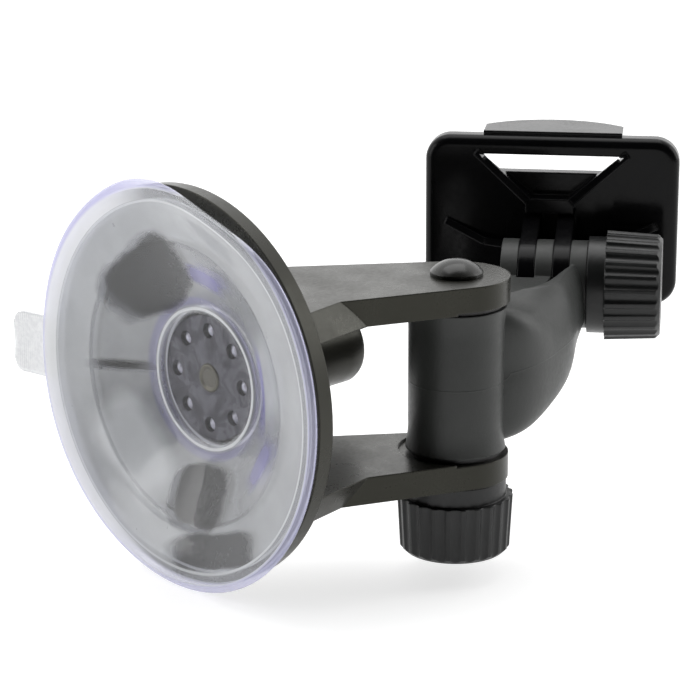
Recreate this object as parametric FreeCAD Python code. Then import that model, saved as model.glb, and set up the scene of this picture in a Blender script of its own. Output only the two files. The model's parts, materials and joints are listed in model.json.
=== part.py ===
import FreeCAD, Part

import math
import os

# Windscreen mount for a dash camera: a clear suction cup on a forked base, an
# elbow that swings in the fork, and a camera plate that tilts on the elbow.
#
# Millimetres. The origin is the centre of the suction cup's sealing rim.
# The cup faces -X, and the swing axis between the fork's arms is parallel to Z.

# ---- driving dimensions -----------------------------------------------------

# suction cup
CUP_RIM_R = 34.7
CUP_BEAD_R = 1.0
CUP_SEAL_IN_R = 31.2
CUP_LIP_IN_R = 24.6
CUP_CENTRE_R = 12.4
CUP_LIP_X = 2.4
CUP_CENTRE_X = 7.9
CUP_CENTRE_SKIN = 0.7
CUP_THICKNESS = 1.7
RIM_EDGE_STEP = 0.3
TAB_WIDTH = 11.0
TAB_REACH = 6.5
TAB_THICKNESS = 1.1
TAB_FRONT_X = 0.45
TAB_CORNER_R = 1.8

# insert moulded behind the cup's centre
INSERT_R = 10.8
INSERT_THICKNESS = 2.0
INSERT_HOLES = 8
INSERT_HOLE_R = 1.3
INSERT_HOLE_CIRCLE_R = 8.2
INSERT_GAP = 0.05

# base housing: dish, boss and fork
BASE_R = 34.0
BASE_FRONT_X = 2.1
BASE_BAND_W = 3.0
BASE_BAND_TAPER = 0.2
BASE_LIP_W = 2.0
BASE_WALL = 2.6
BASE_BACK_X = 13.4
BASE_FLAT_R = 13.6
BASE_SHOULDER = 0.6
BASE_CUP_GAP = 0.3
BOSS_R = 7.2
BOSS_END_R = 6.8
BOSS_END_X = 39.0
BOSS_BORE_R = 5.0
BOSS_SINK = 1.0
BOSS_EDGE = 1.0
ARM_IN_Z = 12.85
ARM_OUT_Z = 17.5
ARM_END_R = 9.0
ARM_RECESS_R = 9.7
ARM_RECESS_DEPTH = 0.4
ARM_ROOT_X = 20.0
ARM_ROOT_R = 31.1
ARM_START_X = 3.6
ARM_TIP_DEG = -15.0
ARM_NEAR_POINT = (13.7, -27.0)
ARM_FAR_POINT = (2.0, 11.5)

# swing axis, between the arms' ends
SWING_X = 39.3
SWING_Y = -27.9
SWING_REST_DEG = -52.0

# bolts, washers and nuts
BOLT_R = 2.5
BOLT_HOLE_R = 2.58
BOLT_CLEAR_R = 2.7
NUT_FLATS = 8.0
NUT_H = 4.0
HEAD_R = 4.45
HEAD_RIM_H = 0.6
HEAD_DOME_H = 2.1
HEX_HEAD_H = 2.4
WASHER_H = 0.8
STUD_WASHER_R = 4.7
STUD_END = 3.0
FRICTION_WASHER_STEP = 0.6
LOCK_WASHER_R = 4.6
LOCK_WASHER_H = 1.0

# elbow
COLUMN_R = 8.05
COLUMN_END_R = 8.5
COLUMN_HALF_H = 12.35
COLUMN_FLARE_H = 5.0
COLUMN_FLARE_DIP = 0.12
COLUMN_FLARE_MIDDLE = 0.42
HINGE_SIDE = 12.35
HINGE_REACH = 38.0
HINGE_Z = 6.5
# horn sections: reach, inner side, outer side, bottom, top, squareness
HORN_SECTIONS = [
    (0.0, -7.2, 7.8, -12.3, 11.4, 4.5),
    (6.0, -6.8, 14.2, -12.35, 11.0, 3.6),
    (12.0, -4.6, 17.0, -11.9, 11.2, 2.7),
    (18.0, -1.0, 18.8, -9.9, 12.8, 2.7),
    (24.0, 2.2, 19.1, -7.4, 13.0, 2.7),
    (31.0, 4.45, 19.85, -4.2, 13.0, 2.7),
    (38.0, 4.65, 20.05, -1.2, 12.6, 3.0),
]
HORN_SECTION_POINTS = 20
HORN_RIM_Z = 11.6
HORN_SHELF_Z = 9.6
HORN_SHELF_REACH = 30.6
GROOVE_FLOOR_Z = 2.0
GROOVE_REACH = 33.0
FINGER_R = 7.9
FINGER_T = 3.0
FINGER_PITCH = 6.2
FINGER_SLOT_R = 8.9
FINGER_SLOPE_DEG = 14.5

# plan of the horn's wall and of the groove's inner side, as (side, reach)
WALL_POINTS = [(15.4, 24.5), (13.2, 18.0), (8.0, 12.6), (2.0, 10.2)]
GROOVE_POINTS = [(2.0, 12.4), (6.6, 15.4), (10.6, 19.4), (12.9, 25.0)]

# knobs
KNOB_R = 9.9
KNOB_END_R = 9.4
KNOB_H = 9.9
KNOB_COLLAR_R = 8.7
KNOB_COLLAR_H = 3.2
KNOB_FLUTES = 24
KNOB_FLUTE_R = 1.3
KNOB_FLUTE_SINK = 0.85
KNOB_GAP = 0.1
KNOB_ROOF = 2.4
KNOB_EDGE = 0.8
KNOB_BORE_R = 3.0
KNOB_SEAT_GAP = 0.15
KNOB_NUT_DEPTH = 4.4
BOLT_END_GAP = 0.6

# camera plate
PLATE_W = 46.6
PLATE_LOW_Z = -0.5
PLATE_TOP_Z = 30.7
PLATE_T = 4.2
PLATE_SKIN = 2.6
PLATE_WALL = 2.0
PLATE_CORNER_R = 4.6
PLATE_EDGE_R = 1.8
PLATE_STANDOFF = 12.0
SLOT_TOP_W = 26.4
SLOT_LOW_W = 20.2
SLOT_TOP_Z = 27.5
SLOT_LOW_Z = 24.3
TONGUE_W = 25.4
TONGUE_T = 2.2
TONGUE_TOP_Z = 31.4
TONGUE_ROOT = 2.0
TONGUE_SIDE_REACH = 8.6
TONGUE_REACH = 14.0
GUSSET_T = 1.4
HIGH_RIB_RISE = 13.2
HIGH_RIB_DEPTH = 5.0
CROSS_RIB_RISE = 11.0
CROSS_RIB_MARGIN = 0.45
LOW_RIB_RISE = 4.0
LOW_RIB_DEPTH = 2.4
LOW_RIB_MIDDLE = 12.0
LOW_RIB_REACH = 19.4
LOW_RIB_END_RISE = 8.3
RIB_END_DEPTH = 1.0
RIB_SINK = 0.5
RIB_SLOT_GAP = 0.4
LOW_RIB_BEND = 0.9
FINGER_LOW_RISE = 1.0

Z_AXIS = FreeCAD.Vector(0, 0, 1)
X_AXIS = FreeCAD.Vector(1, 0, 0)
ORIGIN = FreeCAD.Vector(0, 0, 0)


# ---- helpers ----------------------------------------------------------------

def vec(x, y, z):
    return FreeCAD.Vector(x, y, z)


def cylinder(radius, height, base, axis):
    return Part.makeCylinder(radius, height, base, axis)


def ring(inner, outer, height, base, axis):
    return cylinder(outer, height, base, axis).cut(cylinder(inner, height, base, axis))


def box(x0, x1, y0, y1, z0, z1):
    return Part.makeBox(x1 - x0, y1 - y0, z1 - z0, vec(x0, y0, z0))


def turned_about_x(profile):
    """Solid of revolution about X; profile is a closed list of (x, radius)."""
    points = [vec(x, r, 0) for x, r in profile]
    points.append(points[0])
    face = Part.Face(Part.makePolygon(points))
    return face.revolve(ORIGIN, X_AXIS, 360)


def prism_z(points, z0, z1):
    """Straight-sided prism; points are (x, y)."""
    corners = [vec(x, y, z0) for x, y in points]
    corners.append(corners[0])
    face = Part.Face(Part.makePolygon(corners))
    return face.extrude(vec(0, 0, z1 - z0))


def hexagon(flats, height, base, axis):
    """Hexagonal prism across its flats, standing on base along axis."""
    corner = flats / math.sqrt(3)
    points = []
    for k in range(7):
        angle = math.radians(60 * k)
        points.append(vec(corner * math.cos(angle), corner * math.sin(angle), 0))
    prism = Part.Face(Part.makePolygon(points)).extrude(vec(0, 0, height))
    prism.Placement = FreeCAD.Placement(base, FreeCAD.Rotation(Z_AXIS, axis))
    return prism


def to_swing(shape):
    """Move a shape from the elbow's own axes onto the swing axis, at rest."""
    moved = shape.copy()
    turn = FreeCAD.Rotation(Z_AXIS, SWING_REST_DEG)
    moved.Placement = FreeCAD.Placement(vec(SWING_X, SWING_Y, 0), turn).multiply(moved.Placement)
    return moved


def tangent_point(point, side):
    """Where a line from point touches the arm's round end; side is +1 or -1 in Y."""
    dx = SWING_X - point[0]
    dy = SWING_Y - point[1]
    distance = math.hypot(dx, dy)
    angle = math.atan2(dy, dx) + side * math.asin(ARM_END_R / distance)
    length = math.sqrt(distance ** 2 - ARM_END_R ** 2)
    return (point[0] + length * math.cos(angle), point[1] + length * math.sin(angle))


def back_along(point, target, x):
    """Point at x on the line through point and target."""
    slope = (target[1] - point[1]) / (target[0] - point[0])
    return (x, point[1] + slope * (x - point[0]))


# ---- suction cup and what clamps it ------------------------------------------

def suction_cup():
    back_lip_x = CUP_LIP_X + CUP_THICKNESS
    back_centre_x = CUP_CENTRE_X + CUP_THICKNESS
    profile = [
        (0.0, CUP_SEAL_IN_R),
        (0.0, CUP_RIM_R - CUP_BEAD_R),
        (RIM_EDGE_STEP, CUP_RIM_R - RIM_EDGE_STEP),
        (CUP_BEAD_R, CUP_RIM_R),
        (2 * CUP_BEAD_R - RIM_EDGE_STEP, CUP_RIM_R - RIM_EDGE_STEP),
        (2 * CUP_BEAD_R, CUP_RIM_R - CUP_BEAD_R),
        (2 * CUP_BEAD_R, BASE_R - BASE_LIP_W),
        (back_lip_x, CUP_LIP_IN_R),
        (back_centre_x, CUP_CENTRE_R),
        (back_centre_x, INSERT_R + INSERT_GAP),
        (insert_front_x(), INSERT_R + INSERT_GAP),
        (insert_front_x(), 0.0),
        (CUP_CENTRE_X, 0.0),
        (CUP_CENTRE_X, CUP_CENTRE_R),
        (CUP_LIP_X, CUP_LIP_IN_R),
    ]
    return turned_about_x(profile)


def pull_tab():
    """Flat tab bonded to the rim's edge, for peeling the cup off the glass."""
    half = TAB_WIDTH / 2
    root = math.sqrt(CUP_RIM_R ** 2 - half ** 2)
    tip = CUP_RIM_R + TAB_REACH
    x0 = TAB_FRONT_X
    x1 = x0 + TAB_THICKNESS
    blank = box(x0, x1, root - 1.0, tip, -half, half)
    tab = blank.cut(cylinder(CUP_RIM_R, 4.0, vec(-1, 0, 0), X_AXIS))
    corners = [e for e in tab.Edges
               if abs(e.BoundBox.XLength - TAB_THICKNESS) < 1e-6 and e.BoundBox.YMin > tip - 0.01]
    return tab.makeFillet(TAB_CORNER_R, corners)


def insert_front_x():
    return CUP_CENTRE_X + CUP_CENTRE_SKIN


def insert_back_x():
    return insert_front_x() + INSERT_THICKNESS


def cup_insert_plate():
    x0 = insert_front_x()
    disc = cylinder(INSERT_R, INSERT_THICKNESS, vec(x0, 0, 0), X_AXIS)
    disc = disc.cut(cylinder(BOLT_R, INSERT_THICKNESS, vec(x0, 0, 0), X_AXIS))
    for k in range(INSERT_HOLES):
        angle = 2 * math.pi * k / INSERT_HOLES
        y = INSERT_HOLE_CIRCLE_R * math.cos(angle)
        z = INSERT_HOLE_CIRCLE_R * math.sin(angle)
        disc = disc.cut(cylinder(INSERT_HOLE_R, INSERT_THICKNESS, vec(x0, y, z), X_AXIS))
    return disc


def cup_stud():
    x0 = insert_front_x()
    length = BASE_BACK_X + WASHER_H + NUT_H + STUD_END - x0
    return cylinder(BOLT_R, length, vec(x0, 0, 0), X_AXIS)


def stud_washer():
    return ring(BOLT_CLEAR_R, STUD_WASHER_R, WASHER_H, vec(BASE_BACK_X, 0, 0), X_AXIS)


def stud_nut():
    base = vec(BASE_BACK_X + WASHER_H, 0, 0)
    nut = hexagon(NUT_FLATS, NUT_H, base, X_AXIS)
    return nut.cut(cylinder(BOLT_R, NUT_H, base, X_AXIS))


# ---- base housing ------------------------------------------------------------

def dish():
    """Conical dish behind the cup, with a plain band round its rim."""
    back_lip_x = CUP_LIP_X + CUP_THICKNESS + BASE_CUP_GAP
    floor_x = insert_back_x()
    band_x = BASE_FRONT_X + BASE_BAND_W
    profile = [
        (BASE_FRONT_X, BASE_R),
        (BASE_FRONT_X, BASE_R - BASE_LIP_W),
        (back_lip_x, CUP_LIP_IN_R),
        (floor_x, BASE_FLAT_R),
        (floor_x, BOLT_CLEAR_R),
        (BASE_BACK_X, BOLT_CLEAR_R),
        (BASE_BACK_X, BASE_FLAT_R + BASE_SHOULDER),
        (back_lip_x + BASE_WALL + BASE_SHOULDER, CUP_LIP_IN_R + BASE_SHOULDER),
        (band_x, BASE_R - BASE_BAND_TAPER),
    ]
    return turned_about_x(profile)


def boss():
    profile = [
        (BASE_BACK_X - BOSS_SINK, BOSS_BORE_R),
        (BASE_BACK_X - BOSS_SINK, BOSS_R),
        (BOSS_END_X - BOSS_EDGE, BOSS_END_R),
        (BOSS_END_X - 0.3 * BOSS_EDGE, BOSS_END_R - 0.3 * BOSS_EDGE),
        (BOSS_END_X, BOSS_END_R - BOSS_EDGE),
        (BOSS_END_X, BOSS_BORE_R),
    ]
    return turned_about_x(profile)


def arm_outline():
    near = tangent_point(ARM_NEAR_POINT, -1)
    far = tangent_point(ARM_FAR_POINT, 1)
    start_x = ARM_START_X
    near_root = back_along(ARM_NEAR_POINT, near, start_x)
    far_root = back_along(ARM_FAR_POINT, far, start_x)
    tip_angle = math.radians(ARM_TIP_DEG)
    tip = (SWING_X + ARM_END_R * math.cos(tip_angle), SWING_Y + ARM_END_R * math.sin(tip_angle))
    edges = [
        Part.makeLine(vec(*near_root, 0), vec(*near, 0)),
        Part.Arc(vec(*near, 0), vec(*tip, 0), vec(*far, 0)).toShape(),
        Part.makeLine(vec(*far, 0), vec(*far_root, 0)),
        Part.makeLine(vec(*far_root, 0), vec(*near_root, 0)),
    ]
    return Part.Face(Part.Wire(edges)), far_root


def arm(side):
    """One flat arm of the fork; side is +1 for the upper arm, -1 for the lower."""
    outline, far_root = arm_outline()
    height = ARM_OUT_Z - ARM_IN_Z
    low = ARM_IN_Z if side > 0 else -ARM_OUT_Z
    plate = outline.extrude(vec(0, 0, height))
    plate.translate(vec(0, 0, low))
    root_profile = [
        (BASE_FRONT_X + 1.0, 0.0),
        (BASE_FRONT_X + 1.0, BASE_R - 1.5 * BASE_BAND_TAPER),
        (ARM_ROOT_X, ARM_ROOT_R),
        (ARM_ROOT_X, 0.0),
    ]
    far_end = back_along(far_root, tangent_point(ARM_FAR_POINT, 1), ARM_ROOT_X)
    root_area = [(far_root[0], -BASE_R), (ARM_ROOT_X, -BASE_R), far_end, far_root]
    root = turned_about_x(root_profile).common(prism_z(root_area, low, low + height))
    solid = plate.fuse(root)
    recess_z = ARM_IN_Z if side > 0 else -ARM_IN_Z - ARM_RECESS_DEPTH
    solid = solid.cut(cylinder(ARM_RECESS_R, ARM_RECESS_DEPTH, vec(SWING_X, SWING_Y, recess_z), Z_AXIS))
    return solid


def base_housing():
    # the arms start behind the cup's recess, so that space is taken out of them
    inner_cone = turned_about_x([
        (0.0, 0.0),
        (0.0, BASE_R - BASE_LIP_W),
        (BASE_FRONT_X, BASE_R - BASE_LIP_W),
        (CUP_LIP_X + CUP_THICKNESS + BASE_CUP_GAP, CUP_LIP_IN_R),
        (insert_back_x(), BASE_FLAT_R),
        (insert_back_x(), 0.0),
    ])
    arms = arm(1).fuse(arm(-1)).cut(inner_cone)
    body = dish().fuse([boss(), arms])
    hole = cylinder(BOLT_CLEAR_R, 2 * ARM_OUT_Z + 2, vec(SWING_X, SWING_Y, -ARM_OUT_Z - 1), Z_AXIS)
    return body.cut(hole).removeSplitter()


# ---- swing joint -------------------------------------------------------------

def upper_friction_washer():
    base = vec(SWING_X, SWING_Y, ARM_IN_Z + ARM_RECESS_DEPTH - WASHER_H)
    return ring(BOLT_CLEAR_R, COLUMN_END_R - FRICTION_WASHER_STEP, WASHER_H, base, Z_AXIS)


def lower_friction_washer():
    base = vec(SWING_X, SWING_Y, -ARM_IN_Z - ARM_RECESS_DEPTH)
    return ring(BOLT_CLEAR_R, COLUMN_END_R - FRICTION_WASHER_STEP, WASHER_H, base, Z_AXIS)


def pivot_bolt():
    """Domed bolt down through both arms and the column into the knob."""
    length = 2 * ARM_OUT_Z + KNOB_COLLAR_H + KNOB_H - KNOB_ROOF - BOLT_END_GAP
    shank = cylinder(BOLT_R, length, vec(0, 0, ARM_OUT_Z - length), Z_AXIS)
    rim = cylinder(HEAD_R, HEAD_RIM_H, vec(0, 0, ARM_OUT_Z), Z_AXIS)
    dome_r = (HEAD_R ** 2 + HEAD_DOME_H ** 2) / (2 * HEAD_DOME_H)
    rim_z = ARM_OUT_Z + HEAD_RIM_H
    dome = Part.makeSphere(dome_r, vec(0, 0, rim_z + HEAD_DOME_H - dome_r))
    dome = dome.common(cylinder(HEAD_R, HEAD_DOME_H + 1, vec(0, 0, rim_z), Z_AXIS))
    bolt = shank.fuse([rim, dome])
    bolt.translate(vec(SWING_X, SWING_Y, 0))
    return bolt.removeSplitter()


# ---- knobs -------------------------------------------------------------------

def knob_blank():
    """Fluted knob with a plain collar; its clamping face is at z = 0, facing +Z."""
    top = -KNOB_COLLAR_H
    end = -KNOB_COLLAR_H - KNOB_H
    profile = [
        vec(0, 0, 0),
        vec(KNOB_COLLAR_R, 0, 0),
        vec(KNOB_COLLAR_R, 0, top),
        vec(KNOB_R, 0, top),
        vec(KNOB_END_R, 0, end + KNOB_EDGE),
        vec(KNOB_END_R - KNOB_EDGE, 0, end),
        vec(0, 0, end),
        vec(0, 0, 0),
    ]
    blank = Part.Face(Part.makePolygon(profile)).revolve(ORIGIN, Z_AXIS, 360)
    for k in range(KNOB_FLUTES):
        angle = 2 * math.pi * k / KNOB_FLUTES
        top_r = KNOB_R + KNOB_FLUTE_SINK
        end_r = KNOB_END_R + KNOB_FLUTE_SINK
        start = vec(top_r * math.cos(angle), top_r * math.sin(angle), top)
        finish = vec(end_r * math.cos(angle), end_r * math.sin(angle), end - 1)
        run = finish.sub(start)
        blank = blank.cut(cylinder(KNOB_FLUTE_R, run.Length, start, run))
    return blank


def knob():
    """Knob with a blind bore, a seat for its lock washer and a pocket for its nut."""
    bore_depth = KNOB_COLLAR_H + KNOB_H - KNOB_ROOF
    body = knob_blank()
    body = body.cut(cylinder(KNOB_BORE_R, bore_depth, vec(0, 0, -bore_depth), Z_AXIS))
    seat = cylinder(LOCK_WASHER_R + KNOB_SEAT_GAP, LOCK_WASHER_H, vec(0, 0, -LOCK_WASHER_H), Z_AXIS)
    body = body.cut(seat)
    return body.cut(hexagon(NUT_FLATS, NUT_H, knob_nut_base(), Z_AXIS))


def knob_nut_base():
    return vec(0, 0, -KNOB_NUT_DEPTH - NUT_H)


def knob_nut():
    nut = hexagon(NUT_FLATS, NUT_H, knob_nut_base(), Z_AXIS)
    return nut.cut(cylinder(BOLT_HOLE_R, NUT_H, knob_nut_base(), Z_AXIS))


def lock_washer():
    base = vec(0, 0, -LOCK_WASHER_H)
    return ring(BOLT_CLEAR_R, LOCK_WASHER_R, LOCK_WASHER_H, base, Z_AXIS)


def under_lower_arm(shape):
    moved = shape.copy()
    moved.translate(vec(SWING_X, SWING_Y, -ARM_OUT_Z - KNOB_GAP))
    return moved


def beside_clevis(shape):
    """Lay a knob part on its side against the clevis's outer finger."""
    moved = shape.copy()
    face = HINGE_SIDE + FINGER_PITCH + FINGER_T / 2 + KNOB_GAP
    turn = FreeCAD.Rotation(Z_AXIS, vec(-1, 0, 0))
    moved.Placement = FreeCAD.Placement(vec(face, HINGE_REACH, HINGE_Z), turn)
    return to_swing(moved)


# ---- elbow -------------------------------------------------------------------
# In the elbow's own axes, X runs along the hinge, Y reaches away from the column.

def column():
    half = COLUMN_HALF_H
    flare = half - COLUMN_FLARE_H
    middle_r = (COLUMN_R + COLUMN_END_R) / 2 - COLUMN_FLARE_DIP
    middle_z = half - COLUMN_FLARE_H * COLUMN_FLARE_MIDDLE
    edges = [
        Part.makeLine(vec(0, 0, -half), vec(COLUMN_END_R, 0, -half)),
        Part.Arc(vec(COLUMN_END_R, 0, -half), vec(middle_r, 0, -middle_z), vec(COLUMN_R, 0, -flare)).toShape(),
        Part.makeLine(vec(COLUMN_R, 0, -flare), vec(COLUMN_R, 0, flare)),
        Part.Arc(vec(COLUMN_R, 0, flare), vec(middle_r, 0, middle_z), vec(COLUMN_END_R, 0, half)).toShape(),
        Part.makeLine(vec(COLUMN_END_R, 0, half), vec(0, 0, half)),
        Part.makeLine(vec(0, 0, half), vec(0, 0, -half)),
    ]
    return Part.Face(Part.Wire(edges)).revolve(ORIGIN, Z_AXIS, 360)


def horn_section(reach, side_low, side_high, low, high, squareness):
    """Rounded closed section of the horn, upright, at one reach from the column."""
    centre_x = (side_low + side_high) / 2
    centre_z = (low + high) / 2
    half_w = (side_high - side_low) / 2
    half_h = (high - low) / 2
    points = []
    for k in range(HORN_SECTION_POINTS):
        angle = 2 * math.pi * k / HORN_SECTION_POINTS
        c = math.cos(angle)
        s = math.sin(angle)
        x = centre_x + half_w * math.copysign(abs(c) ** (2 / squareness), c)
        z = centre_z + half_h * math.copysign(abs(s) ** (2 / squareness), s)
        points.append(vec(x, reach, z))
    curve = Part.BSplineCurve()
    curve.interpolate(points, PeriodicFlag=True)
    return Part.Wire([curve.toShape()])


def horn():
    """Curved horn from the column round to the clevis."""
    outer_finger = HINGE_SIDE + FINGER_PITCH + FINGER_T / 2
    sections = [horn_section(*numbers) for numbers in HORN_SECTIONS]
    body = Part.makeLoft(sections, True, False)
    body = body.common(box(-20, outer_finger, 0, HINGE_REACH, -COLUMN_HALF_H, COLUMN_HALF_H))
    body = body.cut(box(-20, 40, COLUMN_END_R + 1, HINGE_REACH + 1, HORN_RIM_Z, HORN_RIM_Z + 10))
    body = body.cut(horn_hollow(inside_wall(), HORN_SHELF_Z))
    return body.cut(horn_hollow(groove_outline(), GROOVE_FLOOR_Z))


def finger_discs():
    discs = []
    for step in (-1, 0, 1):
        side = HINGE_SIDE + step * FINGER_PITCH - FINGER_T / 2
        discs.append(cylinder(FINGER_R, FINGER_T, vec(side, HINGE_REACH, HINGE_Z), X_AXIS))
    return discs


def elbow_arm():
    body = column().fuse([horn()] + finger_discs())
    gap = FINGER_PITCH - FINGER_T
    for step in (-1, 1):
        side = HINGE_SIDE + step * FINGER_PITCH / 2 - gap / 2
        slot = cylinder(FINGER_SLOT_R, gap, vec(side, HINGE_REACH, HINGE_Z), X_AXIS)
        body = body.cut(slot)
    body = body.cut(cylinder(BOLT_HOLE_R, 2 * COLUMN_HALF_H + 2, vec(0, 0, -COLUMN_HALF_H - 1), Z_AXIS))
    body = body.cut(cylinder(BOLT_CLEAR_R, 40, vec(HINGE_SIDE - 20, HINGE_REACH, HINGE_Z), X_AXIS))
    head_x = HINGE_SIDE - FINGER_PITCH - FINGER_T / 2
    body = body.cut(hexagon(NUT_FLATS, HEX_HEAD_H, vec(head_x, HINGE_REACH, HINGE_Z), X_AXIS))
    return to_swing(body)


def wall_line():
    """Inner side of the horn's outer wall, from the outer slot round towards the column."""
    slot_out = HINGE_SIDE + FINGER_PITCH - FINGER_T / 2
    line = Part.BSplineCurve()
    points = [vec(slot_out, HORN_SHELF_REACH, 0)]
    for x, y in WALL_POINTS:
        points.append(vec(x, y, 0))
    line.interpolate(points)
    return line


def inside_wall():
    """Area of the horn's top inside its outer wall, on through the hinge."""
    line = wall_line()
    start = line.value(line.FirstParameter)
    end = line.value(line.LastParameter)
    far_side = HINGE_SIDE - 2 * FINGER_PITCH
    far_end = HINGE_REACH + 1
    edges = [
        line.toShape(),
        Part.makeLine(end, vec(far_side, end.y, 0)),
        Part.makeLine(vec(far_side, end.y, 0), vec(far_side, far_end, 0)),
        Part.makeLine(vec(far_side, far_end, 0), vec(start.x, far_end, 0)),
        Part.makeLine(vec(start.x, far_end, 0), start),
    ]
    return Part.Face(Part.Wire(edges))


def groove_outline():
    """Groove that runs on from the outer slot, between the wall and the shelf."""
    slot_in = HINGE_SIDE + FINGER_T / 2
    line = wall_line()
    start = line.value(line.FirstParameter)
    end = line.value(line.LastParameter)
    points = []
    for x, y in GROOVE_POINTS:
        points.append(vec(x, y, 0))
    points.append(vec(slot_in, GROOVE_REACH, 0))
    inner = Part.BSplineCurve()
    inner.interpolate(points)
    edges = [
        line.toShape(),
        Part.makeLine(end, points[0]),
        inner.toShape(),
        Part.makeLine(vec(slot_in, GROOVE_REACH, 0), vec(start.x, GROOVE_REACH, 0)),
        Part.makeLine(vec(start.x, GROOVE_REACH, 0), start),
    ]
    return Part.Face(Part.Wire(edges))


def horn_hollow(outline, floor_z):
    hollow = outline.extrude(vec(0, 0, 20))
    hollow.translate(vec(0, 0, floor_z))
    return hollow


def tilt_bolt():
    head_x = HINGE_SIDE - FINGER_PITCH - FINGER_T / 2
    length = 2 * FINGER_PITCH + FINGER_T + KNOB_COLLAR_H + KNOB_H - KNOB_ROOF - BOLT_END_GAP
    base = vec(head_x, HINGE_REACH, HINGE_Z)
    bolt = cylinder(BOLT_R, length, base, X_AXIS)
    bolt = bolt.fuse(hexagon(NUT_FLATS, HEX_HEAD_H, base, X_AXIS))
    return to_swing(bolt.removeSplitter())


# ---- camera plate --------------------------------------------------------------

def plate_shell():
    """Tray-shaped plate with rounded corners, open on the camera's side."""
    front = HINGE_REACH + PLATE_STANDOFF
    x0 = HINGE_SIDE - PLATE_W / 2
    blank = box(x0, x0 + PLATE_W, front, front + PLATE_T, PLATE_LOW_Z, PLATE_TOP_Z)
    corners = [e for e in blank.Edges if abs(e.BoundBox.YLength - PLATE_T) < 1e-6]
    blank = blank.makeFillet(PLATE_CORNER_R, corners)
    rim = [e for e in blank.Edges if e.BoundBox.YMax < front + 1e-4]
    blank = blank.makeFillet(PLATE_EDGE_R, rim)
    wall = PLATE_WALL
    pocket = box(x0 + wall, x0 + PLATE_W - wall, front + PLATE_SKIN, front + PLATE_T + 1,
                 PLATE_LOW_Z + wall, PLATE_TOP_Z - wall)
    edges = [e for e in pocket.Edges if abs(e.BoundBox.YLength - (PLATE_T - PLATE_SKIN + 1)) < 1e-6]
    pocket = pocket.makeFillet(PLATE_CORNER_R - wall, edges)
    return blank.cut(pocket)


def plate_slot():
    """Wedge-shaped slot near the plate's top edge."""
    front = HINGE_REACH + PLATE_STANDOFF
    points = [
        vec(HINGE_SIDE - SLOT_TOP_W / 2, front - 1, SLOT_TOP_Z),
        vec(HINGE_SIDE + SLOT_TOP_W / 2, front - 1, SLOT_TOP_Z),
        vec(HINGE_SIDE + SLOT_LOW_W / 2, front - 1, SLOT_LOW_Z),
        vec(HINGE_SIDE - SLOT_LOW_W / 2, front - 1, SLOT_LOW_Z),
        vec(HINGE_SIDE - SLOT_TOP_W / 2, front - 1, SLOT_TOP_Z),
    ]
    return Part.Face(Part.makePolygon(points)).extrude(vec(0, PLATE_T + 2, 0))


def tongue():
    """Lip above the plate that reaches over the camera, with a bowed front edge."""
    back = HINGE_REACH + PLATE_STANDOFF + PLATE_T
    y0 = back - TONGUE_ROOT
    z0 = TONGUE_TOP_Z - TONGUE_T
    x0 = HINGE_SIDE - TONGUE_W / 2
    x1 = HINGE_SIDE + TONGUE_W / 2
    y_side = HINGE_REACH + PLATE_STANDOFF + TONGUE_SIDE_REACH
    y_mid = HINGE_REACH + PLATE_STANDOFF + TONGUE_REACH
    edges = [
        Part.makeLine(vec(x0, y0, z0), vec(x1, y0, z0)),
        Part.makeLine(vec(x1, y0, z0), vec(x1, y_side, z0)),
        Part.Arc(vec(x1, y_side, z0), vec(HINGE_SIDE, y_mid, z0), vec(x0, y_side, z0)).toShape(),
        Part.makeLine(vec(x0, y_side, z0), vec(x0, y0, z0)),
    ]
    return Part.Face(Part.Wire(edges)).extrude(vec(0, 0, TONGUE_T))


def plate_finger(side):
    """One finger, from its round end at the hinge back to the plate."""
    front = HINGE_REACH + PLATE_STANDOFF + RIB_SINK
    x0 = HINGE_SIDE + side * FINGER_PITCH / 2 - FINGER_T / 2
    # the top edge rises from the round end, tangent to it, to meet the ribs
    slope = math.radians(FINGER_SLOPE_DEG)
    touch_y = HINGE_REACH - FINGER_R * math.sin(slope)
    touch_z = HINGE_Z + FINGER_R * math.cos(slope)
    points = [
        vec(x0, HINGE_REACH, HINGE_Z - FINGER_R),
        vec(x0, front, HINGE_Z - FINGER_R + FINGER_LOW_RISE),
        vec(x0, front, touch_z + (front - touch_y) * math.tan(slope)),
        vec(x0, touch_y, touch_z),
        vec(x0, HINGE_REACH, HINGE_Z - FINGER_R),
    ]
    web = Part.Face(Part.makePolygon(points)).extrude(vec(FINGER_T, 0, 0))
    disc = cylinder(FINGER_R, FINGER_T, vec(x0, HINGE_REACH, HINGE_Z), X_AXIS)
    return web.fuse(disc)


def gusset(start, finish, depth_start, depth_finish):
    """Thin tapered rib on the plate's face; start and finish are (x, z)."""
    front = HINGE_REACH + PLATE_STANDOFF + RIB_SINK
    dx = finish[0] - start[0]
    dz = finish[1] - start[1]
    length = math.hypot(dx, dz)
    nx = -dz / length * GUSSET_T / 2
    nz = dx / length * GUSSET_T / 2
    ends = []
    for (x, z), depth in ((start, depth_start), (finish, depth_finish)):
        corners = [
            vec(x - nx, front, z - nz),
            vec(x + nx, front, z + nz),
            vec(x + nx, front - depth, z + nz),
            vec(x - nx, front - depth, z - nz),
            vec(x - nx, front, z - nz),
        ]
        ends.append(Part.makePolygon(corners))
    return Part.makeLoft(ends, True, True)


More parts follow.
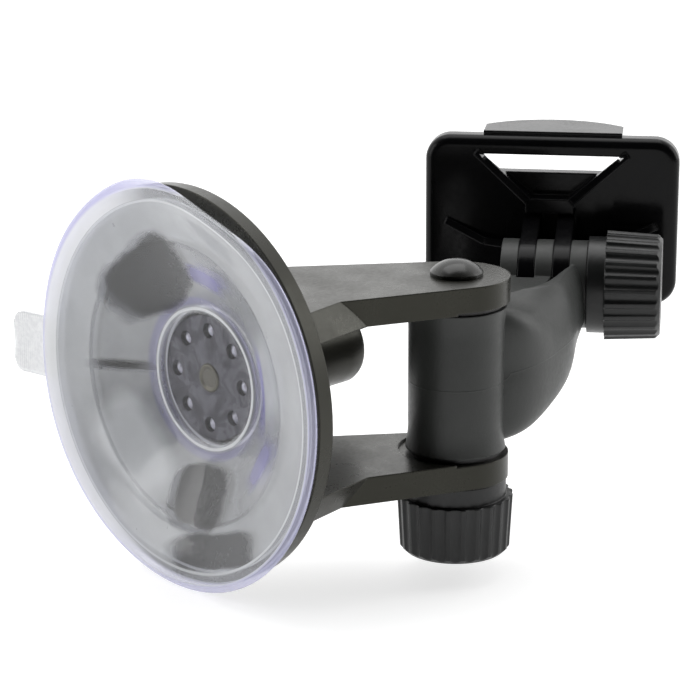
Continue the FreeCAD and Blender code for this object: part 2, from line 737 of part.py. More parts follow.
def camera_plate():
    root_side = FINGER_PITCH / 2 + FINGER_T / 2 - GUSSET_T / 2
    ribs = []
    for side in (-1, 1):
        high_root = (HINGE_SIDE + side * root_side, HINGE_Z + HIGH_RIB_RISE)
        slot_corner = (HINGE_SIDE + side * (SLOT_TOP_W / 2 + GUSSET_T / 2), SLOT_TOP_Z + RIB_SLOT_GAP)
        ribs.append(gusset(high_root, slot_corner, HIGH_RIB_DEPTH, RIB_END_DEPTH))
        low_root = (HINGE_SIDE + side * root_side, HINGE_Z + LOW_RIB_RISE)
        middle = (HINGE_SIDE + side * LOW_RIB_MIDDLE, HINGE_Z + LOW_RIB_RISE + LOW_RIB_BEND)
        outer = (HINGE_SIDE + side * LOW_RIB_REACH, HINGE_Z + LOW_RIB_END_RISE)
        ribs.append(gusset(low_root, middle, LOW_RIB_DEPTH, LOW_RIB_DEPTH))
        ribs.append(gusset(middle, outer, LOW_RIB_DEPTH, RIB_END_DEPTH))
    front = HINGE_REACH + PLATE_STANDOFF + RIB_SINK
    half = root_side + CROSS_RIB_MARGIN
    cross = box(HINGE_SIDE - half, HINGE_SIDE + half, front - HIGH_RIB_DEPTH + CROSS_RIB_MARGIN, front,
                HINGE_Z + CROSS_RIB_RISE, HINGE_Z + HIGH_RIB_RISE + CROSS_RIB_MARGIN)
    body = plate_shell().fuse([tongue(), plate_finger(-1), plate_finger(1), cross] + ribs)
    body = body.cut(plate_slot())
    body = body.cut(cylinder(BOLT_HOLE_R, 40, vec(HINGE_SIDE - 20, HINGE_REACH, HINGE_Z), X_AXIS))
    return to_swing(body.removeSplitter())


# ---- all nodes -----------------------------------------------------------------

def build_nodes():
    return {
        "suction_cup": suction_cup(),
        "pull_tab": pull_tab(),
        "cup_insert_plate": cup_insert_plate(),
        "cup_stud": cup_stud(),
        "stud_washer": stud_washer(),
        "stud_nut": stud_nut(),
        "base_housing": base_housing(),
        "upper_friction_washer": upper_friction_washer(),
        "lower_friction_washer": lower_friction_washer(),
        "pivot_bolt": pivot_bolt(),
        "swing_lock_washer": under_lower_arm(lock_washer()),
        "swing_knob": under_lower_arm(knob()),
        "swing_knob_nut": under_lower_arm(knob_nut()),
        "elbow_arm": elbow_arm(),
        "tilt_bolt": tilt_bolt(),
        "tilt_lock_washer": beside_clevis(lock_washer()),
        "tilt_knob": beside_clevis(knob()),
        "tilt_knob_nut": beside_clevis(knob_nut()),
        "camera_plate": camera_plate(),
    }


def main():
    os.makedirs("parts", exist_ok=True)
    for name, shape in build_nodes().items():
        solids = shape.Solids
        print(name, "solids", len(solids), "valid", shape.isValid(), "volume", round(shape.Volume, 1))
        result = solids[0] if len(solids) == 1 else Part.makeCompound(solids)
        result.exportStep(os.path.join("parts", name + ".step"))


main()
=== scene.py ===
"""Looks of the windscreen mount: clear suction cup, forked base, elbow, camera plate and two knobs."""

import json
import math

import bpy
from mathutils import Matrix, Vector


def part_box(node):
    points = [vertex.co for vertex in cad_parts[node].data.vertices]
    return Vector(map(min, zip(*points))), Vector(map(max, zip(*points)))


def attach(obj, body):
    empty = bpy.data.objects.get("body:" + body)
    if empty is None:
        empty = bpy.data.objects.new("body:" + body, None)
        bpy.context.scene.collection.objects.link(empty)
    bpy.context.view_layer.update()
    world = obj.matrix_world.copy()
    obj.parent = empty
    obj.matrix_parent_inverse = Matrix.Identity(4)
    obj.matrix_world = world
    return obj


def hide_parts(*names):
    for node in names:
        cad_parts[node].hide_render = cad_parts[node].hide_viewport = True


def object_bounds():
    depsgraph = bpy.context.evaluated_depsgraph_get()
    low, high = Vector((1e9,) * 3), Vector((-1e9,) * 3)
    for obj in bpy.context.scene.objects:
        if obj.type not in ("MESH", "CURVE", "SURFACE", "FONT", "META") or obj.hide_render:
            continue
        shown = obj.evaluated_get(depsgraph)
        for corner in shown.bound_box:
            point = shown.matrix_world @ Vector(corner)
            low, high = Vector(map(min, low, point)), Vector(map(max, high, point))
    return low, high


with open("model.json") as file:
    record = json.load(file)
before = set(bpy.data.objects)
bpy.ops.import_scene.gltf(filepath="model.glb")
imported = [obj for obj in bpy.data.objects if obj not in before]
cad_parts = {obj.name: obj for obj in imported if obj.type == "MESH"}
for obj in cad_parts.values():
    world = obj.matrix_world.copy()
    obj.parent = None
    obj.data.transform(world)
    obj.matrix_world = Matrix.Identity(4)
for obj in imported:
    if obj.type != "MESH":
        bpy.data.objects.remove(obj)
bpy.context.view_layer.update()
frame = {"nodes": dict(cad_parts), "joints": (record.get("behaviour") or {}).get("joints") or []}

MM = 0.001
NODES = frame["nodes"]
JOINTS = {joint["name"]: joint for joint in frame["joints"]}

# ---- sizes taken from the frame, in millimetres ---------------------------------------------

CUP_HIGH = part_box("suction_cup")[1] / MM
INSERT_LOW, INSERT_HIGH = (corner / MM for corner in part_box("cup_insert_plate"))
TAB_LOW, TAB_HIGH = (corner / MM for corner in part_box("pull_tab"))
STUD_LOW, STUD_HIGH = (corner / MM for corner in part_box("cup_stud"))
RIM_R = CUP_HIGH.z
CUP_BACK = CUP_HIGH.x
INSERT_R = INSERT_HIGH.z
INSERT_FRONT = INSERT_LOW.x
STUD_R = STUD_HIGH.y

# ---- cup: x is the depth from the glass, r the distance from the axis, in millimetres -------

SKIN = 0.7
CENTRE_FRONT = INSERT_FRONT - SKIN
INSERT_GAP = 0.08
RING_R = 12.1
RING_HALF = 0.3
RING_RISE = 0.5
LIP_R = 24.6
LIP_FRONT = 2.4
SEAL_R = 31.6
WALL = 1.7
BEAD_BACK = 1.95
CUP_OUTLINE = [
    # skin over the insert
    (CENTRE_FRONT, 0.0),
    (CENTRE_FRONT, RING_R - 0.9),
    # raised ring
    (CENTRE_FRONT - RING_RISE, RING_R - RING_HALF),
    (CENTRE_FRONT - RING_RISE, RING_R + RING_HALF),
    (CENTRE_FRONT - 0.1, RING_R + 1.0),
    # cone
    (CENTRE_FRONT - 1.5, 15.4),
    (LIP_FRONT + 1.1, 22.0),
    (LIP_FRONT, LIP_R - 0.2),
    # sloping lip
    (LIP_FRONT - 0.15, LIP_R + 0.6),
    (0.75, SEAL_R - 1.6),
    (0.3, SEAL_R),
    # flat seal and rolled bead
    (0.05, RIM_R - 1.5),
    (0.15, RIM_R - 0.5),
    (0.8, RIM_R),
    (1.4, RIM_R - 0.05),
    (BEAD_BACK, RIM_R - 0.7),
    (BEAD_BACK, RIM_R - 2.4),
    # back of the cup, and the pocket that holds the insert
    (LIP_FRONT + WALL, LIP_R),
    (CUP_BACK, RING_R + RING_HALF),
    (CUP_BACK, INSERT_R + 0.06),
    (INSERT_FRONT - INSERT_GAP, INSERT_R + 0.06),
    (INSERT_FRONT - INSERT_GAP, 0.0),
]
CORNER_CUTS = (0.9, 0.3)
LONGEST_RUN = 0.8
CUP_STEPS = 240
# where the soft rim is out of true: direction round the cup and spread in degrees, then the
# shift outward and the shift forward in millimetres
RIM_WAVES = [
    (42, 20, 0.5, 0.3),
    (74, 13, 0.6, 0.0),
    (108, 15, -1.5, 1.5),
    (190, 28, 0.0, 0.5),
    (250, 22, 0.5, 0.2),
    (330, 30, 0.2, 0.3),
]
RIM_STIFFNESS = 1.6

# ---- small pieces on the cup, in millimetres -------------------------------------------------

HOLES = 8
HOLE_CIRCLE_R = 8.2
PLUG_DEPTH = 0.75
PLUG_STEPS = 24
PLUG_DOME = [(-0.45, 0.0), (-0.42, 0.3), (-0.3, 0.62), (-0.05, 0.9), (0.05, 1.12), (0.35, 1.2),
             (0.6, 1.2), (0.6, 0.0)]

STUD_PROUD = 0.3
STUD_STEPS = 48
STUD_DISH = [(0.45, 0.0), (0.4, 0.5), (0.2, 0.74), (0.05, 0.8), (0.03, 0.92), (0.2, 0.985),
             (0.7, 0.985), (0.9, 0.0)]

TAB_ROOT = RIM_R - 1.4
TAB_TIP = TAB_HIGH.y + 0.8
TAB_CORNER = 2.2
TAB_CURL = 1.2
TAB_SAG = 0.2
TAB_SAG_WAVE = 3.1
TAB_THINNING = 0.3
TAB_FULLNESS = 0.85
TAB_ROWS = 14
TAB_COLUMNS = 16

# ---- haze and tint of the cup's vinyl ---------------------------------------------------------

CLEAR_TINT = (0.95, 0.95, 0.98)
MILK = (0.80, 0.82, 0.84)
# painted light: the white of the band on the flat seal, standing in for the bright surround seen
# through the vinyl
PAINTED_LIGHT_WHITE = (0.97, 0.98, 0.99)
VIOLET = (0.50, 0.48, 0.86)
CONE_HAZE = 0.35
LIP_HAZE = 0.52
HAZE_SWING = 0.06
# how much wider the flat band is on the tab's side, in millimetres
SEAL_OFF_CENTRE = 0.8
# patches: direction round the cup in degrees, radius, half length round, half width, softness
WET_PATCHES = [
    (55, 19.3, 10.8, 5.6, 0.12),
    (-3, 19.4, 0.8, 4.6, 0.5),
    (-94, 20.0, 7.4, 4.9, 0.1),
    (-107, 28.3, 10.2, 2.9, 0.2),
]
VIOLET_PATCHES = [
    (101, 18.8, 4.2, 1.7, 0.3),
    (-149, 20.0, 5.0, 1.7, 0.3),
    (176, 16.0, 7.0, 1.2, 0.5),
]
BRIGHT_PATCHES = [
    (-48, 20.5, 9.0, 4.6, 0.4),
    (165, 20.0, 6.5, 3.6, 0.5),
]
# painted highlights along moulded edges: radius, half width, strength
PAINTED_HIGHLIGHT_LINES = [
    (RING_R, 0.42, 0.95),
    (RIM_R - 0.9, 0.35, 0.85),
]

# ---- patterns in the plastics, in features to the metre ---------------------------------------

FLOW_MARKS = 28.0
SMUDGES = 90.0
SPARK_GRAIN = 1500.0
METAL_PATCHES = 160.0
METAL_LINES = 700.0
EDGE_ROUNDING = 0.35 * MM
SMOOTH_BELOW_DEG = 32
WELD_MM = 0.002

# ---- camera, floor, surround and lamps, in metres ---------------------------------------------

CAMERA_AT = Vector((-0.26454, -0.31753, 0.12670))
CAMERA_TARGET = Vector((0.03812, -0.00347, -0.00044))
CAMERA_ROLL_DEG = -0.22
CAMERA_LENS = 133.77
FLOOR_HALF = 6.0
FLOOR_GLOW = 0.66
DARK_SIDE = (-0.69, -0.72, 0.05)
SURROUND = {"From Min": -0.4, "From Max": 0.45, "To Min": 1.5, "To Max": 0.0}
# name, place, target, size, power
LAMPS = [
    ("top_box", (0.15, 0.15, 0.75), (0.05, 0.0, 0.0), (0.7, 0.5), 2.2),
    ("left_box", (-0.6, 0.45, 0.25), (0.0, 0.0, 0.0), (0.4, 0.5), 1.9),
    ("right_box", (0.65, -0.4, 0.3), (0.06, -0.01, 0.0), (0.3, 0.5), 1.2),
]


# ---- mesh helpers -----------------------------------------------------------------------------

def new_object(name, points, faces, smooth=True):
    """A mesh object from points in millimetres."""
    mesh = bpy.data.meshes.new(name)
    mesh.from_pydata([Vector(point) * MM for point in points], [], faces)
    mesh.validate()
    mesh.update()
    for polygon in mesh.polygons:
        polygon.use_smooth = smooth
    obj = bpy.data.objects.new(name, mesh)
    bpy.context.scene.collection.objects.link(obj)
    return obj


def between(start, end, share):
    return tuple(a + (b - a) * share for a, b in zip(start, end))


def cut_corners(outline, cut):
    """The outline with each corner cut off, apart from its first point and its last two."""
    out = [outline[0]]
    for before, point, after in zip(outline, outline[1:-2], outline[2:]):
        for other in (before, after):
            reach = math.dist(point, other)
            out.append(between(point, other, min(cut, reach / 3) / reach))
    return out + outline[-2:]


def divide(profile, longest):
    """The profile with its long straight runs divided, so that they can bend."""
    out = []
    for start, end in zip(profile, profile[1:]):
        count = max(1, math.ceil(math.dist(start, end) / longest))
        out += [between(start, end, k / count) for k in range(count)]
    return out + [profile[-1]]


def turned(x, radius, angle):
    return (x, radius * math.cos(angle), radius * math.sin(angle))


def lathe(profile, steps, place=turned):
    """Points and faces of a profile of (x, radius) turned about X; both its ends are on the axis."""
    points = [place(*profile[0], 0.0)]
    rings = [[0] * steps]
    for x, radius in profile[1:-1]:
        rings.append(range(len(points), len(points) + steps))
        points += [place(x, radius, 2 * math.pi * k / steps) for k in range(steps)]
    rings.append([len(points)] * steps)
    points.append(place(*profile[-1], 0.0))
    faces = []
    for near, far in zip(rings, rings[1:]):
        for k in range(steps):
            after = (k + 1) % steps
            corners = (near[k], near[after], far[after], far[k])
            faces.append(list(dict.fromkeys(corners)))
    return points, faces


# ---- node helpers -------------------------------------------------------------------------------

class Paint:
    """A material under construction, with short calls for the nodes that it is made of."""

    def __init__(self, name):
        self.material = bpy.data.materials.new(name)
        self.material.use_nodes = True
        self.nodes = self.material.node_tree.nodes
        self.links = self.material.node_tree.links
        self.nodes.clear()
        self.output = self.nodes.new("ShaderNodeOutputMaterial")
        self.coordinates = self.nodes.new("ShaderNodeTexCoord").outputs["Object"]

    def set(self, socket, value):
        """Link a socket to the input, or give the input a plain value."""
        if isinstance(value, bpy.types.NodeSocket):
            self.links.new(value, socket)
        elif isinstance(value, (tuple, list)):
            socket.default_value = (*value, 1.0)
        else:
            socket.default_value = value

    def math(self, operation, a, b=0.0):
        node = self.nodes.new("ShaderNodeMath")
        node.operation = operation
        self.set(node.inputs[0], a)
        self.set(node.inputs[1], b)
        return node.outputs[0]

    def add(self, a, b):
        return self.math("ADD", a, b)

    def less(self, a, b):
        return self.math("SUBTRACT", a, b)

    def times(self, a, b):
        return self.math("MULTIPLY", a, b)

    def largest(self, *values):
        total = 0.0
        for value in values:
            total = self.math("MAXIMUM", total, value)
        return total

    def length(self, a, b):
        return self.math("SQRT", self.add(self.times(a, a), self.times(b, b)))

    def noise(self, scale, detail=3.0, roughness=0.5, vector=None, distortion=0.0):
        node = self.nodes.new("ShaderNodeTexNoise")
        node.inputs["Scale"].default_value = scale
        node.inputs["Detail"].default_value = detail
        node.inputs["Roughness"].default_value = roughness
        node.inputs["Distortion"].default_value = distortion
        self.links.new(vector or self.coordinates, node.inputs["Vector"])
        return node.outputs["Fac"]

    def stretch(self, scale):
        node = self.nodes.new("ShaderNodeMapping")
        node.inputs["Scale"].default_value = scale
        self.links.new(self.coordinates, node.inputs["Vector"])
        return node.outputs["Vector"]

    def xyz(self):
        node = self.nodes.new("ShaderNodeSeparateXYZ")
        self.links.new(self.coordinates, node.inputs[0])
        return node.outputs

    def ramp(self, value, low, high, to_low=0.0, to_high=1.0, smooth=True):
        """to_low where the value is low, to_high where it is high."""
        node = self.nodes.new("ShaderNodeMapRange")
        node.interpolation_type = "SMOOTHSTEP" if smooth else "LINEAR"
        self.set(node.inputs["Value"], value)
        node.inputs["From Min"].default_value = low
        node.inputs["From Max"].default_value = high
        node.inputs["To Min"].default_value = to_low
        node.inputs["To Max"].default_value = to_high
        return node.outputs["Result"]

    def spread(self, noise, to_low=0.0, to_high=1.0):
        """A noise's usual range stretched to the range asked for."""
        return self.ramp(noise, 0.3, 0.7, to_low, to_high)

    def line(self, value, centre, inner, outer, strength):
        """strength where the value is within inner of the centre, fading out at outer."""
        away = self.math("ABSOLUTE", self.less(value, centre))
        return self.ramp(away, inner, outer, strength, 0.0)

    def blend(self, factor, a, b):
        node = self.nodes.new("ShaderNodeMix")
        node.data_type = "RGBA"
        self.set(node.inputs["Factor"], factor)
        self.set(node.inputs[6], a)
        self.set(node.inputs[7], b)
        return node.outputs[2]

    def bump(self, height, distance, strength=1.0, normal=None):
        node = self.nodes.new("ShaderNodeBump")
        node.inputs["Distance"].default_value = distance
        node.inputs["Strength"].default_value = strength
        self.links.new(height, node.inputs["Height"])
        if normal is not None:
            self.links.new(normal, node.inputs["Normal"])
        return node.outputs["Normal"]

    def soft_edges(self, radius):
        """Normals as if each sharp edge had a small radius."""
        node = self.nodes.new("ShaderNodeBevel")
        node.samples = 6
        node.inputs["Radius"].default_value = radius
        return node.outputs["Normal"]

    def edge_mask(self, soft):
        """1 where the surface is near a sharp edge."""
        geometry = self.nodes.new("ShaderNodeNewGeometry")
        dot = self.nodes.new("ShaderNodeVectorMath")
        dot.operation = "DOT_PRODUCT"
        self.links.new(soft, dot.inputs[0])
        self.links.new(geometry.outputs["Normal"], dot.inputs[1])
        return self.ramp(dot.outputs["Value"], 0.995, 0.8)

    def shader(self, kind, **sockets):
        """A shader node; the names of its inputs are written with underscores."""
        node = self.nodes.new(kind)
        for name, value in sockets.items():
            self.set(node.inputs[name.replace("_", " ")], value)
        return node

    def principled(self, **sockets):
        return self.shader("ShaderNodeBsdfPrincipled", **sockets)

    def mix(self, factor, first, second):
        node = self.nodes.new("ShaderNodeMixShader")
        self.set(node.inputs[0], factor)
        self.links.new(first.outputs[0], node.inputs[1])
        self.links.new(second.outputs[0], node.inputs[2])
        return node

    def finish(self, shader):
        self.links.new(shader.outputs[0], self.output.inputs["Surface"])
        return self.material


# ---- plastics and metals ----------------------------------------------------------------------

def moulded(name, dark, light, roughness, grain, rounding=EDGE_ROUNDING, gloss=0.5, seam=None,
            wear_and_highlight=0.25, sheen=(1.0, 1.0, 1.0)):
    """Injection-moulded plastic: fine grain, faint flow marks, softened edges that are lighter in
    patches, partly from wear and partly as painted highlight.
    """
    paint = Paint(name)
    soft = paint.soft_edges(rounding)
    flow = paint.noise(FLOW_MARKS, 3.0, 0.55, paint.stretch((1.0, 1.0, 0.35)), 0.6)
    speckle = paint.noise(SPARK_GRAIN, 2.0, 0.6)
    smudge = paint.noise(SMUDGES, 4.0, 0.6)
    base = paint.blend(paint.spread(flow), dark, light)
    # Edges are painted lighter in smudgy patches: partly real wear, partly a painted highlight along
    # them.
    rubbed_and_highlight_tone = tuple(2.2 * channel + 0.012 for channel in light)
    scuff_and_highlight = paint.times(paint.edge_mask(soft), paint.ramp(smudge, 0.35, 0.65, 0.0, wear_and_highlight))
    rough = paint.add(paint.spread(smudge, roughness - 0.05, roughness + 0.06),
                      paint.spread(speckle, -0.03, 0.03))
    height = paint.add(paint.times(speckle, grain), paint.times(smudge, 0.02))
    if seam is not None:
        height = paint.add(height, seam(paint))
    return paint.finish(paint.principled(
        Base_Color=paint.blend(scuff_and_highlight, base, rubbed_and_highlight_tone), Roughness=rough,
        Normal=paint.bump(height, 0.06 * MM, 1.0, soft),
        Specular_IOR_Level=gloss, Specular_Tint=sheen))


def elbow_seam(paint):
    """Faint parting line round the column, a little higher and sloping on the horn."""
    x, y, z = paint.xyz()
    column = Vector(JOINTS["swing"]["pos_m"])
    reach = paint.length(paint.less(x, column.x), paint.less(y, column.y))
    on_horn = paint.ramp(reach, 8.4 * MM, 9.4 * MM)
    rise = paint.ramp(reach, 9 * MM, 30 * MM, 0.9 * MM, 3.4 * MM, smooth=False)
    height = paint.add(-0.6 * MM, paint.times(on_horn, rise))
    return paint.line(z, height, 0.05 * MM, 0.16 * MM, 0.55)


def metal(name, color, roughness, streak):
    """Plated or turned metal with fine lines, a little darker in patches."""
    paint = Paint(name)
    lines = paint.noise(METAL_LINES, 3.0, 0.6, paint.stretch(streak))
    darker = tuple(0.82 * channel for channel in color)
    return paint.finish(paint.principled(
        Base_Color=paint.blend(paint.spread(paint.noise(METAL_PATCHES)), darker, color),
        Roughness=paint.spread(lines, roughness - 0.06, roughness + 0.08),
        Normal=paint.bump(lines, 0.03 * MM, 0.6, paint.soft_edges(0.2 * MM)), Metallic=1.0))


def black_bolt():
    """Black-oxide steel under a thin film of oil."""
    paint = Paint("black_bolt")
    patch = paint.noise(220.0, 4.0, 0.6)
    return paint.finish(paint.principled(
        Base_Color=paint.blend(paint.spread(patch), (0.006, 0.006, 0.005), (0.016, 0.016, 0.013)),
        Roughness=paint.spread(patch, 0.2, 0.3),
        Normal=paint.bump(paint.noise(900.0, 2.0), 0.02 * MM, 0.5, paint.soft_edges(0.25 * MM)),
        Specular_IOR_Level=0.35, Coat_Weight=0.1, Coat_Roughness=0.12))


def black_nylon():
    """Black nylon, slightly polished where it rubs."""
    paint = Paint("nylon_washer")
    cloud = paint.noise(300.0)
    return paint.finish(paint.principled(
        Base_Color=paint.blend(paint.spread(cloud), (0.012, 0.012, 0.012), (0.028, 0.028, 0.028)),
        Roughness=paint.spread(cloud, 0.3, 0.5), Normal=paint.bump(cloud, 0.05 * MM, 0.6)))


def smoked_plastic():
    """Dark insert plate with paler clouds, where the vinyl has bonded to it unevenly."""
    paint = Paint("smoked_insert")
    cloud = paint.noise(230.0, 5.0, 0.65, distortion=0.8)
    clouded = paint.ramp(cloud, 0.35, 0.68)
    return paint.finish(paint.principled(
        Base_Color=paint.blend(clouded, (0.018, 0.018, 0.021), (0.12, 0.12, 0.125)),
        Roughness=paint.spread(cloud, 0.12, 0.4),
        Normal=paint.bump(cloud, 0.4 * MM, 0.5, paint.soft_edges(0.3 * MM)),
        Specular_IOR_Level=0.25))


def clear_plug():
    """Thick vinyl plug: pale and very glossy."""
    paint = Paint("clear_bead")
    cloud = paint.noise(900.0, 3.0, 0.6)
    return paint.finish(paint.principled(
        Base_Color=paint.blend(paint.spread(cloud), (0.25, 0.25, 0.27), (0.6, 0.6, 0.63)),
        Roughness=paint.spread(cloud, 0.05, 0.16), Normal=paint.bump(cloud, 0.15 * MM, 0.8),
        Coat_Weight=1.0))


def frosted_vinyl():
    """Tab vinyl: translucent white with fine moulded ribs across it."""
    paint = Paint("frosted_tab")
    rib_pitch = 0.5 * MM
    ribs = paint.math("SINE", paint.times(paint.xyz()[1], 2 * math.pi / rib_pitch))
    grain = paint.noise(1300.0, 3.0, 0.6)
    height = paint.add(paint.times(ribs, 0.5), grain)
    return paint.finish(paint.principled(
        Base_Color=paint.blend(paint.spread(grain), (0.66, 0.67, 0.69), (0.78, 0.79, 0.80)),
        Roughness=paint.spread(grain, 0.32, 0.5), Normal=paint.bump(height, 0.02 * MM, 0.6),
        Transmission_Weight=0.15, IOR=1.45))


# ---- the cup's clear vinyl ----------------------------------------------------------------------

def patches(paint, y, z, wheres, warp):
    """1 inside any of the soft-edged rounded patches."""
    return paint.largest(*(patch(paint, y, z, where, warp) for where in wheres))


def patch(paint, y, z, where, warp):
    direction, radius, along, across, softness = where
    cos, sin = math.cos(math.radians(direction)), math.sin(math.radians(direction))
    dy = paint.less(y, radius * cos)
    dz = paint.less(z, radius * sin)
    outward = paint.add(paint.times(dy, cos), paint.times(dz, sin))
    sideways = paint.less(paint.times(dz, cos), paint.times(dy, sin))
    squares = []
    for offset, half in ((sideways, along), (outward, across)):
        share = paint.math("DIVIDE", offset, half)
        squares.append(paint.times(share, share))
    distance = paint.add(paint.math("SQRT", paint.length(*squares)), warp)
    return paint.ramp(distance, 1.0 + softness, 1.0 - softness)


def cup_haze(paint, haze, radius, tab_side, seal, wet, bright):
    """How milky the vinyl is before its edges and rim: most on the lip and in the bright patches."""
    lip = paint.ramp(radius, LIP_R - 0.3, LIP_R + 0.2)
    far_side = paint.times(lip, paint.ramp(tab_side, 0.2, -0.9))
    centre = paint.ramp(radius, RING_R - 0.4, RING_R - 1.1)
    flat = paint.ramp(seal, 0.0, 0.6)
    fold = paint.line(radius, LIP_R - 0.5, 0.1, 0.45, 0.35)
    specks = paint.ramp(paint.noise(620.0, 1.0, 0.4), 0.79, 0.83, 0.0, 0.7)
    milk = paint.spread(haze, CONE_HAZE - HAZE_SWING, CONE_HAZE + HAZE_SWING)
    milk = paint.add(milk, paint.times(bright, 0.38))
    milk = paint.add(milk, paint.times(lip, LIP_HAZE - CONE_HAZE))
    losses = ((wet, 0.85), (centre, 0.98), (flat, 0.42), (far_side, 0.22), (fold, 1.0), (specks, 1.0))
    for mask, loss in losses:
        milk = paint.times(milk, paint.less(1.0, paint.times(mask, loss)))
    return milk


def painted_edge_highlights(paint, radius, seal):
    """Painted highlights along the moulded edges and along the fold where the lip turns flat."""
    lines = [paint.line(radius, at, 0.4 * half, half, strength) for at, half, strength in PAINTED_HIGHLIGHT_LINES]
    return paint.largest(*lines, paint.line(seal, 0.0, 0.12, 0.36, 0.75))


def cup_vinyl():
    """Clear vinyl that is milky in its thickness and violet in its thick rim and collar.

    Where it is wetted against the dish it is clear, so dark patches show there. A band of painted
    light lies white on the flat seal on the tab's side, and painted highlight lines run along the
    moulded edges.
    """
    paint = Paint("cup_vinyl")
    side, up = (paint.math("DIVIDE", axis, MM) for axis in paint.xyz()[1:3])
    radius = paint.length(side, up)
    tab_side = paint.math("DIVIDE", side, radius)
    warp = paint.spread(paint.noise(95.0, 2.0, 0.5), -0.13, 0.13)
    haze = paint.noise(60.0, 4.0, 0.55)
    wet = patches(paint, side, up, WET_PATCHES, warp)
    bright = patches(paint, side, up, BRIGHT_PATCHES, warp)
    violet = patches(paint, side, up, VIOLET_PATCHES, paint.times(warp, 0.6))
    seal = paint.less(radius, paint.less(SEAL_R, paint.times(tab_side, SEAL_OFF_CENTRE)))
    # Painted light: a white band on the flat seal, on the tab's side only, stands in for the bright
    # surround seen through the vinyl.
    painted_light_band = paint.times(paint.ramp(seal, 0.0, 0.4), paint.ramp(tab_side, -0.1, 0.6, 0.0, 0.92))
    rim = paint.ramp(radius, RIM_R - 1.3, RIM_R - 0.5)
    collar = paint.line(radius, RING_R + 1.3, 0.3, 1.1, 0.65)

    # The milk takes in the painted highlight lines and the painted white band of light.
    milk = paint.largest(cup_haze(paint, haze, radius, tab_side, seal, wet, bright),
                         painted_edge_highlights(paint, radius, seal), painted_light_band,
                         paint.times(rim, 0.42), paint.times(violet, 0.42))
    tint = paint.largest(paint.times(rim, 0.62), violet, collar)
    # The colour turns to the painted white of that band of light.
    color = paint.blend(tint, paint.blend(painted_light_band, MILK, PAINTED_LIGHT_WHITE), VIOLET)
    waves = paint.add(haze, paint.times(paint.noise(260.0, 2.0), 0.03))
    normal = paint.bump(waves, 0.5 * MM, 0.3)
    return paint.finish(paint.mix(milk, clear_part(paint, normal), milky_part(paint, color, normal)))


def clear_part(paint, normal):
    """See-through vinyl with surface gloss on its outside only."""
    geometry = paint.nodes.new("ShaderNodeNewGeometry")
    fresnel = paint.shader("ShaderNodeFresnel", IOR=1.4, Normal=normal)
    outside = paint.less(1.0, geometry.outputs["Backfacing"])
    gloss = paint.shader("ShaderNodeBsdfGlossy", Roughness=0.08, Normal=normal)
    see_through = paint.shader("ShaderNodeBsdfTransparent", Color=CLEAR_TINT)
    return paint.mix(paint.times(fresnel.outputs[0], outside), see_through, gloss)


def milky_part(paint, color, normal):
    """Haze in the vinyl's thickness, under a glossy surface, partly lit from behind."""
    body = paint.principled(Base_Color=color, Roughness=0.16, Normal=normal,
                            Coat_Weight=0.6, Coat_Roughness=0.03)
    lit_through = paint.shader("ShaderNodeBsdfTranslucent", Color=color)
    return paint.mix(0.3, body, lit_through)


# ---- pieces ---------------------------------------------------------------------------------------

def bend_rim(x, radius, angle):
    """A point of the cup, moved by as much as the soft lip is out of true there."""
    share = max(0.0, (radius - LIP_R) / (RIM_R - LIP_R)) ** RIM_STIFFNESS
    outward = forward = 0.0
    for direction, spread, out, front in RIM_WAVES:
        away = (math.degrees(angle) - direction + 180) % 360 - 180
        weight = math.exp(-0.5 * (away / spread) ** 2)
        outward += out * weight
        forward += front * weight
    return turned(x - forward * share, radius + outward * share, angle)


def make_cup():
    """The cup as moulded, in one skin with the pocket for the insert."""
    profile = CUP_OUTLINE
    for cut in CORNER_CUTS:
        profile = cut_corners(profile, cut)
    points, faces = lathe(divide(profile, LONGEST_RUN), CUP_STEPS, bend_rim)
    return new_object("cup_vinyl", points, faces)


def make_plugs():
    """Vinyl that fills the insert's holes, each with a small domed end."""
    points, faces = [], []
    dome, dome_faces = lathe(PLUG_DOME, PLUG_STEPS)
    for k in range(HOLES):
        centre = Vector(turned(INSERT_FRONT + PLUG_DEPTH, HOLE_CIRCLE_R, 2 * math.pi * k / HOLES))
        start = len(points)
        points += [Vector(point) + centre for point in dome]
        faces += [[start + index for index in face] for face in dome_faces]
    return new_object("insert_beads", points, faces)


def make_stud_end():
    """Dished end of the stud, seen through the cup's centre."""
    front = STUD_LOW.x - STUD_PROUD
    points, faces = lathe([(front + x, STUD_R * share) for x, share in STUD_DISH], STUD_STEPS)
    return new_object("stud_end_face", points, faces)


def tab_point(along, across, face):
    """A point of the tab: along from root to tip, across from edge to edge, face -1 or 1."""
    y = TAB_ROOT + (TAB_TIP - TAB_ROOT) * along
    past = max(0.0, y - TAB_TIP + TAB_CORNER)
    inset = TAB_CORNER - math.sqrt(max(0.0, TAB_CORNER ** 2 - past ** 2))
    span = 2 * across - 1
    thinning = 1 - TAB_THINNING * max(abs(span) ** 8, along ** 10)
    half = (TAB_HIGH.x - TAB_LOW.x) / 2 * thinning * TAB_FULLNESS
    curl = TAB_SAG * math.sin(TAB_SAG_WAVE * across) - TAB_CURL * along ** 1.5
    return ((TAB_LOW.x + TAB_HIGH.x) / 2 + curl + face * half, y, (TAB_HIGH.z - inset) * span)


